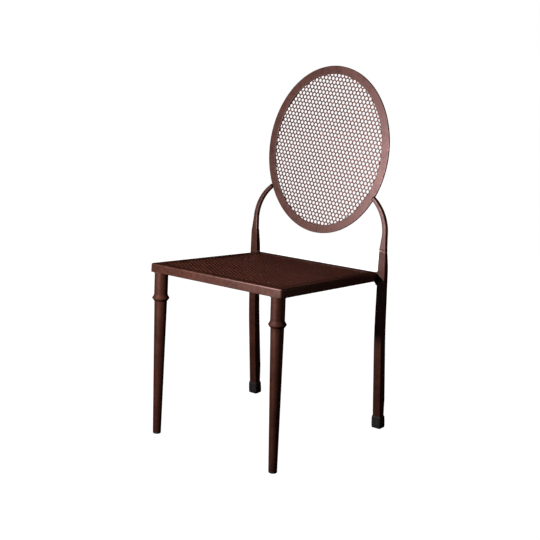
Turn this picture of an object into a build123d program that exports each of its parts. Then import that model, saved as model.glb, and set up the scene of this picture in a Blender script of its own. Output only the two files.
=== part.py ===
from build123d import *

import os
from math import atan, cos, hypot, radians, sin, sqrt, tan

# A welded iron dining chair: a perforated oval back on two bent stiles, a perforated seat in a mitred
# tube frame, turned and tapered front legs with collars, and square rear legs that kick back.
# Millimetres. The chair stands on Z = 0 and faces -Y. Left and right are as seen from its front.

# Seat frame
seat_height = 450.0  # top of the front rail's front edge above the floor
seat_front_width = 411.0  # over the rails, along the front edge
seat_rear_width = 397.0  # over the rails, between the rear legs' front edges
seat_depth = 442.0  # along the slope
seat_slope = 3.1  # degrees, the rear edge is lower
seat_corner = 7.0  # rounding of the two front corners in plan
rail_width = 25.0
rail_height = 22.0
rail_wall = 2.0
rail_edge = 1.6  # rounding along the rails' outer top edges

# Perforated sheet of the seat and the back. The real holes are round, 9 mm in the back and about 6 mm in
# the seat, at 11.5 mm. Here fewer and larger six-sided holes keep the open shares and the staggered rows.
sheet_thickness = 2.0
hole_pitch = 29.0
back_hole_across = 21.6  # between a hole's flat sides
seat_hole_across = 15.0
hole_turn = 30.0  # degrees, so that flat sides of neighbouring holes face each other along a row
hole_margin = 5.0  # least plain sheet between a hole and the seat's rails
back_sheet_turn = -4.5  # degrees, the back's rows run a little downhill
seat_sheet_turn = 21.5  # degrees, the seat's rows run askew to the rails
seat_sheet_recess = 1.0  # below the rails' tops

# Front legs
front_leg_head = 34.5  # diameter from the collar up to the seat
front_leg_neck = 32.4  # diameter under the collar
front_leg_foot = 21.2  # diameter at the floor
front_leg_wall = 2.5
front_leg_side = 22.5  # from the seat's side to the middle of the leg's top
front_leg_splay = 5.1  # how far each foot stands out past the leg's top
collar_height = 361.5  # of the collar's widest ring above the floor
collar_diameter = 44.0
collar_rise = 9.5  # from the widest ring up to the collar's upper lip
collar_fall = 7.0  # from the widest ring down to its lower lip
collar_nose = 3.0  # height of the blunt outer band
collar_lip = 0.8
collar_fit = 0.1  # radial clearance on the leg
glide_height = 5.0
glide_edge = 1.8
glide_stem = 16.0
glide_fit = 0.3  # clearance of the stem in the leg's end

# Rear legs
rear_leg_width = 22.0
rear_leg_top_width = 19.0
rear_leg_taper = 60.0  # length below the shoulder over which both sides draw in
rear_leg_top_depth = 12.0
rear_leg_knee_depth = 19.0
rear_leg_foot_depth = 22.5
rear_leg_wall = 2.0
rear_leg_top = 490.0  # height of the shoulder that carries the stile
rear_leg_knee = 265.0  # height where the leg begins to kick back
rear_leg_drift = 1.3  # the knee's front lies this far behind the top's front
rear_leg_kick = 21.5  # the foot's front lies this far behind the knee's front
rear_leg_knee_radius = 1500.0
rear_leg_set_in = 2.0  # the leg's back, at its top, in front of the seat's rear edge
cap_height = 34.0
cap_wall = 2.6
cap_base = 5.0
cap_fit = 0.2
cap_corner = 3.0
cap_edge = 1.5

# Oval back
back_height = 730.0  # centre of the oval above the floor
back_lean = 7.4  # degrees
back_set_back = 2.0  # the plane of the rim's front, at the shoulders, behind the legs' fronts
oval_width = 382.0
oval_height = 450.0
rim_width = 25.0
rim_thickness = 5.0
seam_gap = 1.2  # between the rim's two halves, filled by the weld
seam_sink = 0.3  # how far the weld stays below the rim's faces
back_sheet_inset = 8.0  # from the rim's outer edge to the sheet's edge

# Stiles, bent from bar and drawn down towards the rim
stile_depth = 12.0
stile_lean = 4.9  # degrees, steeper than the back, so that the rim meets the bars' rear halves
stile_root_width = 18.5
stile_waist_width = 9.0
stile_tip_width = 7.0
stile_straight = 35.0  # from the leg's shoulder to the bend, along the lean
stile_bend_radius = 118.0
stile_sweep = 75.0  # degrees, run on into the rim and trimmed there
stile_overrun = 1.0  # left below the shoulder before it is trimmed

# Tack welds
tack_size = 4.0
tack_length = 12.0
tack_spacing = 110.0
back_tack_count = 12

# Worked out from the sizes above
slope = radians(seat_slope)
lean = radians(back_lean)
stile_tilt = radians(stile_lean)
seat_run = seat_depth * cos(slope)
leg_inset = front_leg_head / 2
head_x = seat_front_width / 2 - front_leg_side
foot_x = head_x + front_leg_splay
leg_rise = seat_height - rail_height
collar_top = collar_height + collar_rise
collar_bottom = collar_height - collar_fall
rear_leg_middle = seat_rear_width / 2 + rear_leg_width / 2
shoulder_front = seat_run - rear_leg_set_in - rear_leg_top_depth
side_draw = (seat_front_width - seat_rear_width) / 2 / (shoulder_front / cos(slope))
stile_root = shoulder_front + (rear_leg_top_depth - stile_depth) / 2
back_root = shoulder_front + back_set_back
oval_run = back_root + (back_height - rear_leg_top) * tan(lean)
reach_front = leg_inset - collar_diameter / 2
reach_rim = oval_run + oval_height / 2 * sin(lean) + rim_thickness * cos(lean)
reach_sheet = (
    oval_run
    + (oval_height / 2 - back_sheet_inset) * sin(lean)
    + (rim_thickness + sheet_thickness) * cos(lean)
)
reach_cap = (
    shoulder_front + rear_leg_drift + rear_leg_kick + rear_leg_foot_depth + cap_fit + cap_wall
)
front_y = -(reach_front + max(reach_rim, reach_sheet, reach_cap)) / 2  # centres the chair on the origin

seat_plane = Plane(
    origin=(0, front_y, seat_height), x_dir=(1, 0, 0), z_dir=(0, sin(slope), cos(slope))
)
seat_underside = seat_plane.offset(-rail_height)
seat_up = Axis(seat_plane.origin, seat_plane.z_dir)
back_plane = Plane(
    origin=(0, front_y + oval_run, back_height), x_dir=(1, 0, 0), z_dir=(0, -cos(lean), sin(lean))
)
stile_plane = Plane(
    origin=(0, front_y + stile_root, rear_leg_top),
    x_dir=(1, 0, 0),
    z_dir=(0, -cos(stile_tilt), sin(stile_tilt)),
)
shoulder_plane = Plane.XY.offset(rear_leg_top)
rim_back_plane = back_plane.offset(-rim_thickness)

os.makedirs("parts", exist_ok=True)
sides = (("left", -1), ("right", 1))


def save(piece, name):
    piece.part.label = name
    export_step(piece.part, f"parts/{name}.step")


# Rows of staggered holes, turned about the middle, that lie inside the given shape.
def staggered_rows(half_x, half_y, turn, inside):
    row_step = hole_pitch * sqrt(3) / 2
    reach = hypot(half_x, half_y)
    rows = int(reach / row_step) + 1
    columns = int(reach / hole_pitch) + 1
    places = []
    for row in range(-rows, rows + 1):
        for column in range(-columns, columns + 1):
            along = (column + 0.5 * (row % 2)) * hole_pitch
            across = row * row_step
            x = along * cos(radians(turn)) - across * sin(radians(turn))
            y = along * sin(radians(turn)) + across * cos(radians(turn))
            if inside(x, y):
                places.append(Location((x, y, 0), (0, 0, turn)))
    return places


# Half the seat's width at a place along the slope, drawn in by an amount square to the side.
def half_seat(along, draw_in=0.0):
    return seat_front_width / 2 - side_draw * along - draw_in / cos(atan(side_draw))


# The seat's right front and right rear corner, drawn in by an amount from each side.
def seat_corners(draw_in):
    rear = seat_depth - draw_in
    return (half_seat(draw_in, draw_in), draw_in), (half_seat(rear, draw_in), rear)


def mirrored(corner):
    return (-corner[0], corner[1])


# The outlines of the four mitred rails between two lines that follow the seat's border.
def rail_outlines(outer_line, inner_line):
    front, rear = seat_corners(outer_line)
    front_in, rear_in = seat_corners(inner_line)
    outlines = {
        "seat_front_rail": [mirrored(front), front, front_in, mirrored(front_in)],
        "seat_rear_rail": [mirrored(rear), rear, rear_in, mirrored(rear_in)],
    }
    for side, sign in sides:
        outlines[f"seat_{side}_rail"] = [(sign * x, y) for x, y in (front, rear, rear_in, front_in)]
    return outlines


# An edge that runs along the seat's outer border, its rounded front corners included.
def on_border(edge):
    place = seat_plane.to_local_coords(edge.center())
    return min(half_seat(place.Y) - abs(place.X), place.Y, seat_depth - place.Y) < seat_corner / 2


# The seat's border: its front corners are rounded, its rear ones run out square behind the legs.
front_corner, rear_corner = seat_corners(0)
with BuildSketch() as seat_border:
    with BuildLine():
        Polyline(mirrored(front_corner), front_corner, rear_corner, mirrored(rear_corner), close=True)
    make_face()
    fillet(seat_border.vertices().group_by(Axis.Y)[0], seat_corner)

# Seat rails: a mitred frame of rectangular tube
rail_hollows = rail_outlines(rail_wall, rail_width - rail_wall)
for rail_name, outline in rail_outlines(0, rail_width).items():
    with BuildPart() as rail:
        with BuildSketch(seat_plane):
            with BuildLine():
                Polyline(*outline, close=True)
            make_face()
            add(seat_border.sketch_local, mode=Mode.INTERSECT)
        extrude(amount=-rail_height)
        rail_top = rail.faces().sort_by(seat_up)[-1]
        fillet(rail_top.edges().filter_by(on_border), rail_edge)
        with BuildSketch(seat_plane.offset(-rail_wall)):
            with BuildLine():
                Polyline(*rail_hollows[rail_name], close=True)
            make_face()
        extrude(amount=-(rail_height - 2 * rail_wall), mode=Mode.SUBTRACT)
    save(rail, rail_name)

# Seat sheet, let in between the rails
sheet_front, sheet_rear = seat_corners(rail_width)
seat_middle = seat_depth / 2
seat_hole_radius = seat_hole_across / sqrt(3)  # from a hole's middle to its corners
hole_limit = rail_width + seat_hole_radius + hole_margin  # from the seat's border


def in_seat(x, y):
    return abs(x) < half_seat(seat_middle + y, hole_limit) and abs(y) < seat_middle - hole_limit


with BuildPart() as seat_panel:
    with BuildSketch(seat_plane.offset(-seat_sheet_recess)):
        with BuildLine():
            Polyline(mirrored(sheet_front), sheet_front, sheet_rear, mirrored(sheet_rear), close=True)
        make_face()
        with Locations((0, seat_middle)):
            with Locations(*staggered_rows(sheet_front[0], seat_middle, seat_sheet_turn, in_seat)):
                RegularPolygon(seat_hole_radius, 6, rotation=hole_turn, mode=Mode.SUBTRACT)
    extrude(amount=-sheet_thickness)
save(seat_panel, "seat_panel")

# Tack welds under the seat sheet, three-cornered beads against the rails' inner faces
with BuildPart() as seat_tack_welds:
    tack_top = -seat_sheet_recess - sheet_thickness
    tack_places = []
    for step in (-1, 0, 1):
        across = step * tack_spacing
        tack_places.append(((across, rail_width), (0, 1), (1, 0)))
        tack_places.append(((across, seat_depth - rail_width), (0, -1), (-1, 0)))
        side_place = seat_middle + across
        side_x = half_seat(side_place, rail_width)
        tack_places.append(((-side_x, side_place), (1, -side_draw), (-side_draw, -1)))
        tack_places.append(((side_x, side_place), (-1, -side_draw), (-side_draw, 1)))
    for (x, y), inward, along in tack_places:
        corner = seat_plane.from_local_coords(Vector(x, y, tack_top))
        run = (seat_plane.x_dir * along[0] + seat_plane.y_dir * along[1]).normalized()
        inside = (seat_plane.x_dir * inward[0] + seat_plane.y_dir * inward[1]).normalized()
        with BuildSketch(Plane(origin=corner, x_dir=inside, z_dir=run)):
            with BuildLine():
                Polyline((0, 0), (tack_size, 0), (0, -tack_size), close=True)
            make_face()
        extrude(amount=tack_length / 2, both=True)
save(seat_tack_welds, "seat_tack_welds")


# Front legs: a cone of tube up to the collar and a straight head above it, cut to the rails' underside
def leg_radius(height):
    return (front_leg_foot + (front_leg_neck - front_leg_foot) * height / collar_bottom) / 2


for side, sign in sides:
    leg_foot = Vector(sign * foot_x, front_y + leg_inset, 0)
    leg_head = Vector(sign * head_x, front_y + leg_inset, leg_rise)
    leg_run = (leg_head - leg_foot).normalized()
    leg_axis = Axis(leg_foot, leg_run)
    leg_section = Plane(origin=leg_foot, x_dir=(leg_run.Z, 0, -leg_run.X), z_dir=(0, -1, 0))
    leg_over = leg_rise + rail_height
    leg_lid = leg_rise - front_leg_head * tan(slope) - front_leg_wall

    with BuildPart() as front_leg:
        with BuildSketch(leg_section):
            with BuildLine():
                Polyline(
                    (leg_radius(glide_height) - front_leg_wall, glide_height),
                    (leg_radius(glide_height), glide_height),
                    (front_leg_neck / 2, collar_bottom),
                    (front_leg_head / 2, collar_top),
                    (front_leg_head / 2, leg_over),
                    (0, leg_over),
                    (0, leg_lid),
                    (front_leg_neck / 2 - front_leg_wall, leg_lid),
                    close=True,
                )
            make_face()
        revolve(axis=leg_axis)
        split(bisect_by=seat_underside, keep=Keep.BOTTOM)
    save(front_leg, f"front_{side}_leg")

    # The collar: a blunt ring that flares from the leg above and is cut back sharply below
    nose = collar_diameter / 2
    flare_top = front_leg_head / 2 + collar_fit
    flare_bottom = front_leg_neck / 2 + collar_fit
    flare_reach = nose - flare_top
    with BuildPart() as collar:
        with BuildSketch(leg_section):
            with BuildLine():
                Polyline(
                    (flare_bottom, collar_bottom),
                    (flare_bottom + collar_lip, collar_bottom),
                    (nose - collar_lip, collar_height - collar_nose),
                    (nose, collar_height - collar_nose / 2),
                    (nose, collar_height + collar_nose / 2),
                    (flare_top + flare_reach / 2, collar_height + collar_rise / 2),
                    (flare_top + collar_lip, collar_top),
                    (flare_top, collar_top),
                    close=True,
                )
            make_face()
        revolve(axis=leg_axis)
    save(collar, f"front_{side}_collar")

    # The glide: a plug in the open lower end, cut flat on the floor
    stem_radius = leg_radius(glide_height) - front_leg_wall - glide_fit
    with BuildPart() as glide:
        with BuildSketch(leg_section):
            with BuildLine():
                Polyline(
                    (0, -glide_height),
                    (leg_radius(0), -glide_height),
                    (leg_radius(glide_height), glide_height),
                    (stem_radius, glide_height),
                    (stem_radius, glide_height + glide_stem),
                    (0, glide_height + glide_stem),
                    close=True,
                )
            make_face()
        revolve(axis=leg_axis)
        split(bisect_by=Plane.XY, keep=Keep.TOP)
        chamfer(glide.edges().group_by(Axis.Z)[0], glide_edge)
    save(glide, f"front_{side}_glide")

# Rear legs, caps and stiles
knee_front = shoulder_front + rear_leg_drift
foot_front = knee_front + rear_leg_kick
front_pitch = rear_leg_kick / rear_leg_knee
back_pitch = (rear_leg_kick + rear_leg_foot_depth - rear_leg_knee_depth) / rear_leg_knee


# The leg's outline from the side: its front edge upwards, then its back edge downwards, with the
# front, the back and the top drawn in by an amount.
def leg_outline(draw_in, low):
    front = [
        (front_y + foot_front - front_pitch * low + draw_in, low),
        (front_y + knee_front + draw_in, rear_leg_knee),
        (front_y + shoulder_front + draw_in, rear_leg_top - draw_in),
    ]
    back = [
        (front_y + shoulder_front + rear_leg_top_depth - draw_in, rear_leg_top - draw_in),
        (front_y + knee_front + rear_leg_knee_depth - draw_in, rear_leg_knee),
        (front_y + foot_front + rear_leg_foot_depth - back_pitch * low - draw_in, low),
    ]
    return front, back


def leg_profile(across, draw_in, low):
    front, back = leg_outline(draw_in, low)
    with BuildSketch(Plane.YZ.offset(across)) as profile:
        with BuildLine():
            FilletPolyline(*front, radius=rear_leg_knee_radius)
            Line(front[-1], back[0])
            FilletPolyline(*back, radius=rear_leg_knee_radius)
            Line(back[-1], front[0])
        make_face()
    return profile.sketch


# The leg's outline from the front: straight, and drawn in on both sides below its top.
def leg_face(across, draw_in):
    half = rear_leg_width / 2 - draw_in
    half_top = rear_leg_top_width / 2 - draw_in
    taper_start = rear_leg_top - rear_leg_taper
    with BuildSketch(Plane.XZ) as face:
        with BuildLine():
            Polyline(
                (across - half, 0),
                (across + half, 0),
                (across + half, taper_start),
                (across + half_top, rear_leg_top),
                (across - half_top, rear_leg_top),
                (across - half, taper_start),
                close=True,
            )
        make_face()
    return face.sketch


# The leg's body: its side outline, kept where it lies inside its front outline.
def leg_body(across, draw_in):
    with BuildPart() as body:
        extrude(leg_profile(across, draw_in, cap_base), amount=rear_leg_width / 2, both=True)
        extrude(leg_face(across, draw_in), amount=seat_depth, both=True, mode=Mode.INTERSECT)
    return body.part


# A block that follows the leg's lower end, standing out from it by an amount.
def foot_profile(across, stand_out, low, high):
    front_low = front_y + foot_front - front_pitch * low - stand_out
    front_high = front_y + foot_front - front_pitch * high - stand_out
    back_low = front_y + foot_front + rear_leg_foot_depth - back_pitch * low + stand_out
    back_high = front_y + foot_front + rear_leg_foot_depth - back_pitch * high + stand_out
    with BuildSketch(Plane.YZ.offset(across)) as profile:
        with BuildLine():
            Polyline(
                (front_low, low), (back_low, low), (back_high, high), (front_high, high), close=True
            )
        make_face()
    return profile.sketch


# The stile's inner and outer edges in its own plane: root, waist and tip.
def stile_outline(sign):
    root = sign * rear_leg_middle
    bend = stile_straight
    end = radians(stile_sweep)
    centre = rear_leg_middle - stile_bend_radius

    def on_bend(offset):
        reach = stile_bend_radius + offset
        return (sign * (centre + reach * cos(end)), bend + reach * sin(end))

    below = -stile_depth * tan(stile_tilt) - stile_overrun
    inner = [
        (root - sign * stile_root_width / 2, below),
        (root - sign * stile_waist_width / 2, bend),
        on_bend(-stile_tip_width / 2),
    ]
    outer = [
        (root + sign * stile_root_width / 2, below),
        (root + sign * stile_waist_width / 2, bend),
        on_bend(stile_tip_width / 2),
    ]
    return inner, outer


for side, sign in sides:
    leg_middle = sign * rear_leg_middle
    with BuildPart() as rear_leg:
        add(leg_body(leg_middle, 0))
        add(leg_body(leg_middle, rear_leg_wall), mode=Mode.SUBTRACT)
    save(rear_leg, f"rear_{side}_leg")

    # The cap: a socket that follows the leg's lower end, with rounded corners
    with BuildPart() as cap:
        extrude(
            foot_profile(leg_middle, cap_fit + cap_wall, 0, cap_height),
            amount=rear_leg_width / 2 + cap_fit + cap_wall,
            both=True,
        )
        fillet(cap.edges().group_by(Axis.Z)[1], cap_corner)
        chamfer(cap.edges().group_by(Axis.Z)[0], cap_edge)
        extrude(
            foot_profile(leg_middle, cap_fit, cap_base, cap_height),
            amount=rear_leg_width / 2 + cap_fit,
            both=True,
            mode=Mode.SUBTRACT,
        )
    save(cap, f"rear_{side}_cap")

    inner, outer = stile_outline(sign)
    with BuildPart() as stile:
        with BuildSketch(stile_plane):
            with BuildLine():
                Line(inner[0], inner[1])
                TangentArc(inner[1], inner[2], tangent=(0, 1))
                Line(inner[2], outer[2])
                TangentArc(outer[1], outer[2], tangent=(0, 1))
                Line(outer[1], outer[0])
                Line(outer[0], inner[0])
            make_face()
        extrude(amount=-stile_depth)
        split(bisect_by=shoulder_plane, keep=Keep.TOP)
        # The tip is cut to the rim's outer edge.
        with BuildSketch(back_plane):
            Ellipse(oval_width / 2, oval_height / 2)
        extrude(amount=2 * stile_depth, both=True, mode=Mode.SUBTRACT)
    save(stile, f"{side}_stile")

# Oval rim: two flat half rings, butted at the top and the bottom
for side, sign in sides:
    with BuildPart() as rim:
        with BuildSketch(back_plane):
            Ellipse(oval_width / 2, oval_height / 2)
            Ellipse(oval_width / 2 - rim_width, oval_height / 2 - rim_width, mode=Mode.SUBTRACT)
            with Locations((sign * (oval_width + seam_gap) / 2, 0)):
                Rectangle(oval_width, 2 * oval_height, mode=Mode.INTERSECT)
        extrude(amount=-rim_thickness)
    save(rim, f"back_rim_{side}")

with BuildPart() as rim_seam_welds:
    with BuildSketch(back_plane.offset(-seam_sink)):
        Ellipse(oval_width / 2, oval_height / 2)
        Ellipse(oval_width / 2 - rim_width, oval_height / 2 - rim_width, mode=Mode.SUBTRACT)
        Rectangle(seam_gap, 2 * oval_height, mode=Mode.INTERSECT)
    extrude(amount=-(rim_thickness - 2 * seam_sink))
save(rim_seam_welds, "rim_seam_welds")

# Back sheet, laid against the rim's rear face
window_x = oval_width / 2 - rim_width
window_y = oval_height / 2 - rim_width
back_hole_radius = back_hole_across / sqrt(3)


# The rows run on behind the rim, so a hole is kept where its middle shows in the window.
def in_back(x, y):
    return hypot(x / window_x, y / window_y) < 1


with BuildPart() as back_panel:
    with BuildSketch(rim_back_plane):
        Ellipse(oval_width / 2 - back_sheet_inset, oval_height / 2 - back_sheet_inset)
        with Locations(*staggered_rows(window_x, window_y, back_sheet_turn, in_back)):
            RegularPolygon(back_hole_radius, 6, rotation=hole_turn, mode=Mode.SUBTRACT)
    extrude(amount=-sheet_thickness)
save(back_panel, "back_panel")

# Tack welds around the back sheet's edge
with BuildPart() as back_tack_welds:
    with BuildSketch(rim_back_plane):
        Ellipse(
            oval_width / 2 - back_sheet_inset + tack_size,
            oval_height / 2 - back_sheet_inset + tack_size,
        )
        Ellipse(
            oval_width / 2 - back_sheet_inset, oval_height / 2 - back_sheet_inset, mode=Mode.SUBTRACT
        )
        with PolarLocations(0, back_tack_count // 2, 180 / back_tack_count, 180):
            Rectangle(2 * oval_height, tack_length, mode=Mode.INTERSECT)
    extrude(amount=-sheet_thickness)
save(back_tack_welds, "back_tack_welds")
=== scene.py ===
from math import copysign, cos, hypot, pi, radians, sin, sqrt, tau

import bmesh
import bpy
from bpy.props import FloatProperty, FloatVectorProperty, IntProperty, PointerProperty
from mathutils import Matrix, Vector, noise
from mathutils.bvhtree import BVHTree
from mathutils.geometry import delaunay_2d_cdt
from mathutils.kdtree import KDTree


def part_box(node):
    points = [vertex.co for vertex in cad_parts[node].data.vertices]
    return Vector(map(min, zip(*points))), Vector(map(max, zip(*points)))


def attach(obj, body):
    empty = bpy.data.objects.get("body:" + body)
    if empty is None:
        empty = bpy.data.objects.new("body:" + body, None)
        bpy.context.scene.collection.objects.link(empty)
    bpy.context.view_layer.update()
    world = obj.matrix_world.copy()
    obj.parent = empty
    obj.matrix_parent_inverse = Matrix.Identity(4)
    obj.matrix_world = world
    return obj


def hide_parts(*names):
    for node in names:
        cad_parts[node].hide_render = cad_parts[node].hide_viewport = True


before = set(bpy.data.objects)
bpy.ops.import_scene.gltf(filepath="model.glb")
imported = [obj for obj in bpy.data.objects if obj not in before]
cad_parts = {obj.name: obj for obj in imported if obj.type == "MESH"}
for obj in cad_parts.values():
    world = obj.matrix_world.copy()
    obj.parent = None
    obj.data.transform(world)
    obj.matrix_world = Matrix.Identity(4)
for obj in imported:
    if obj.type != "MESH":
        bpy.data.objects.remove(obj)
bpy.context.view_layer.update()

bl_info = {
    "name": "Iron dining chair",
    "version": (1, 0, 0),
    "blender": (4, 5, 0),
    "location": "View3D > Sidebar > Iron chair",
    "description": "Dresses a welded iron dining chair with rounded bars, punched sheet and paint",
    "category": "Add Mesh",
}

MM = 0.001
BODY = "root"
SIDES = (("left", -1), ("right", 1))
ACROSS = Vector((1, 0, 0))
BACKWARD = Vector((0, 1, 0))
UPWARD = Vector((0, 0, 1))
FAR = 2.0  # metres, outside the chair on any side
FLAT = 0.9  # how well a face has to look one way to count as the main face of a sheet
MERGE = 0.01 * MM  # points closer than this are one
CORNER_STEPS = 4  # facets of a rounded corner
ROUND_STEPS = 56  # facets round a front leg
BEAD_SIDES = 10  # facets round a weld bead
STILE_STRAIGHT = 0.25  # share of a stile's way from foot to tip that is straight

# Heights over the floor and how far a glide is drawn in there, in millimetres
GLIDE_PROFILE = ((0.0, 2.6), (0.15, 1.6), (0.7, 0.7), (1.5, 0.2), (2.6, 0.0))

# Shares of a rubber cap's height and how far the cap is drawn in there, in millimetres
CAP_PROFILE = (
    (0.0, 2.2), (0.012, 1.2), (0.045, 0.5), (0.1, 0.15), (0.3, 0.0), (0.55, 0.0), (0.8, 0.25),
    (0.93, 0.5), (0.975, 0.85), (0.998, 1.7),
)


# The frame's measures


def face_place(face_node, facing, nodes):
    """The matrix of a flat face, X across the chair and Z out of the face, and the nodes' size in it.

    Its origin is in the middle of the nodes, on their foremost face."""
    normal = Vector()
    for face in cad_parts[face_node].data.polygons:
        if face.normal.dot(facing) > FLAT:
            normal += face.normal * face.area
    normal.normalize()
    turn = Matrix((ACROSS, normal.cross(ACROSS), normal)).transposed().to_4x4()
    upright = turn.inverted()
    points = [upright @ v.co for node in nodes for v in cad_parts[node].data.vertices]
    low = Vector([min(p[i] for p in points) for i in range(3)])
    high = Vector([max(p[i] for p in points) for i in range(3)])
    origin = (low + high) / 2
    origin.z = high.z
    return turn @ Matrix.Translation(origin), high - low


def span(node, point, along):
    """Where a line through a point enters and leaves a node's outer skin."""
    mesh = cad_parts[node].data
    tree = BVHTree.FromPolygons(
        [v.co for v in mesh.vertices], [tuple(p.vertices) for p in mesh.polygons]
    )
    first = tree.ray_cast(point - along * FAR, along)[0]
    last = tree.ray_cast(point + along * FAR, -along)[0]
    if first is None or last is None:
        raise RuntimeError(f"no section of {node} at {tuple(point)}")
    return first, last


def block_section(node, across, height, corner, inset=0.0):
    """A square bar's outline at a height, read off a node, with rounded corners and its edge marks.

    Its outer side is read off, and its inner side mirrors that."""
    front, back = span(node, Vector((across, 0, height)), BACKWARD)
    first, last = span(node, Vector((across, (front.y + back.y) / 2, height)), ACROSS)
    if across < 0:
        last.x = 2 * across - first.x
    else:
        first.x = 2 * across - last.x
    outline = rounded_section(
        (first.x + inset, front.y + inset), (last.x - inset, back.y - inset), [corner] * 4, MM
    )
    return [Vector((*point, height)) for point, _ in outline], [mark for _, mark in outline]


def seat_place():
    rails = ["seat_front_rail", "seat_rear_rail", "seat_left_rail", "seat_right_rail"]
    return face_place("seat_panel", UPWARD, rails)


def seat_sides():
    """Half the seat's width in front, and how much each side draws in per length behind that."""
    place, size = seat_place()
    reach = 0.3 * size.y
    front, rear = (
        span("seat_right_rail", place @ Vector((0, y, -size.z / 2)), ACROSS)[1].x for y in (-reach, reach)
    )
    draw = (front - rear) / (2 * reach)
    return front + draw * (size.y / 2 - reach), draw


def back_place():
    return face_place("back_panel", -BACKWARD, ["back_rim_left", "back_rim_right"])


def front_leg_line(side):
    """A front leg's middle and radius at any height: a cone up to the collar, straight above it."""
    node = f"front_{side}_leg"
    low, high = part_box(node)
    middle_y = (low.y + high.y) / 2
    sections = []
    for share in (0.25, 0.75, 0.94):
        height = low.z + share * (high.z - low.z)
        first, last = span(node, Vector((0, middle_y, height)), ACROSS)
        sections.append((height, (first.x + last.x) / 2, (last.x - first.x) / 2))
    (z0, x0, r0), (z1, x1, r1), (_, _, head) = sections
    neck_z, head_z = (corner.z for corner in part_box(f"front_{side}_collar"))

    def at(height):
        share = (height - z0) / (z1 - z0)
        cone = r0 + (min(height, neck_z) - z0) / (z1 - z0) * (r1 - r0)
        rise = min(max((height - neck_z) / (head_z - neck_z), 0.0), 1.0)
        return Vector((x0 + share * (x1 - x0), middle_y, height)), cone + rise * (head - cone)

    return at


# Sections and skins


def rounded_section(low, high, radii, shoulder):
    """A rectangle's outline with rounded corners, counter-clockwise from its low corner.

    Each point comes with its edge mark: 1 on a rounding, 0 beside it."""
    (x0, y0), (x1, y1) = low, high
    places = ((x0, y0, 1, 1), (x1, y0, -1, 1), (x1, y1, -1, -1), (x0, y1, 1, -1))
    points = []
    for quarter, ((x, y, way_x, way_y), radius) in enumerate(zip(places, radii)):
        middle = Vector((x + way_x * radius, y + way_y * radius))
        turns = [pi + (quarter + step / CORNER_STEPS) * pi / 2 for step in range(CORNER_STEPS + 1)]
        arc = [middle + radius * Vector((cos(turn), sin(turn))) for turn in turns]
        coming = Vector((-sin(turns[0]), cos(turns[0])))
        leaving = Vector((-coming.y, coming.x))
        points.append((arc[0] - coming * shoulder, 0.0))
        points += [(point, 1.0) for point in arc]
        points.append((arc[-1] + leaving * shoulder, 0.0))
    return points


def skin(rings, closed=False):
    """Points and faces of a skin over rings of points, with a lid on its two ends unless it is closed."""
    count = len(rings[0])
    points = [point for ring in rings for point in ring]
    faces = []
    for i in range(len(rings) if closed else len(rings) - 1):
        low, high = i * count, (i + 1) % len(rings) * count
        for k in range(count):
            n = (k + 1) % count
            faces.append((low + k, low + n, high + n, high + k))
    if not closed:
        faces.append(tuple(reversed(range(count))))
        faces.append(tuple(range(len(points) - count, len(points))))
    return points, faces


def shrunk(ring, by):
    """A ring drawn in towards its middle."""
    middle = sum(ring, Vector()) / len(ring)
    return [point + (middle - point).normalized() * by for point in ring]


def full_turn(count):
    return [tau * k / count for k in range(count)]


def circle(middle, radius, count):
    return [middle + radius * Vector((cos(turn), sin(turn), 0)) for turn in full_turn(count)]


def new_object(name, data):
    thing = bpy.data.objects.new(name, data)
    bpy.context.scene.collection.objects.link(thing)
    return thing


def add_piece(name, shape, finish, stands_for=(), marks=None, sharp=40.0):
    """A mesh piece in the chair's own frame, which rides on it and stands for the given nodes.

    Its shape is points and faces. Edges that turn by more than the sharp angle, in degrees, stay
    crisp."""
    points, faces = shape
    mesh = bpy.data.meshes.new(name)
    mesh.from_pydata(points, [], faces)
    edge = mesh.attributes.new("edge", "FLOAT", "POINT")
    edge.data.foreach_set("value", marks or [0.0] * len(points))
    work = bmesh.new()
    work.from_mesh(mesh)
    bmesh.ops.remove_doubles(work, verts=work.verts, dist=MERGE)
    bmesh.ops.dissolve_degenerate(work, edges=work.edges, dist=MERGE)
    loose = [vert for vert in work.verts if not vert.link_faces]
    bmesh.ops.delete(work, geom=loose, context="VERTS")
    bmesh.ops.recalc_face_normals(work, faces=work.faces)
    work.to_mesh(mesh)
    work.free()
    mesh.shade_smooth()
    mesh.set_sharp_from_angle(angle=radians(sharp))
    mesh.materials.append(finish)
    piece = new_object(name, mesh)
    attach(piece, BODY)
    if stands_for:
        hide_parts(*stands_for)


def add_beads(name, beads, stands_for=()):
    """Weld beads, each of them points and faces, as one piece."""
    points, faces = [], []
    for more_points, more_faces in beads:
        start = len(points)
        points += more_points
        faces += [tuple(start + i for i in face) for face in more_faces]
    add_piece(name, (points, faces), weld_paint(), stands_for, sharp=60)


# Finishes


def colours():
    return bpy.context.scene.chair_colours


def feed(tree, node, values, links):
    """Sets some of a node's inputs to values and links others to outputs."""
    for key, value in values.items():
        node.inputs[key].default_value = value
    for key, output in links.items():
        tree.links.new(output, node.inputs[key])


def add_node(tree, kind, values, links):
    node = tree.nodes.new(f"ShaderNode{kind}")
    feed(tree, node, values, links)
    return node


def add_noise(tree, vector, scale, detail):
    values = {"Scale": scale, "Detail": detail, "Roughness": 0.55}
    return add_node(tree, "TexNoise", values, {"Vector": vector}).outputs["Fac"]


def remap(tree, value, start, end, low, high):
    """A value that goes from low to high while the given one goes from start to end."""
    values = {"From Min": start, "From Max": end, "To Min": low, "To Max": high}
    return add_node(tree, "MapRange", values, {"Value": value}).outputs["Result"]


def patches(tree, vector, scale, detail, start, end, low, high):
    """Noise that goes from low to high where its own value goes from start to end."""
    return remap(tree, add_noise(tree, vector, scale, detail), start, end, low, high)


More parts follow.
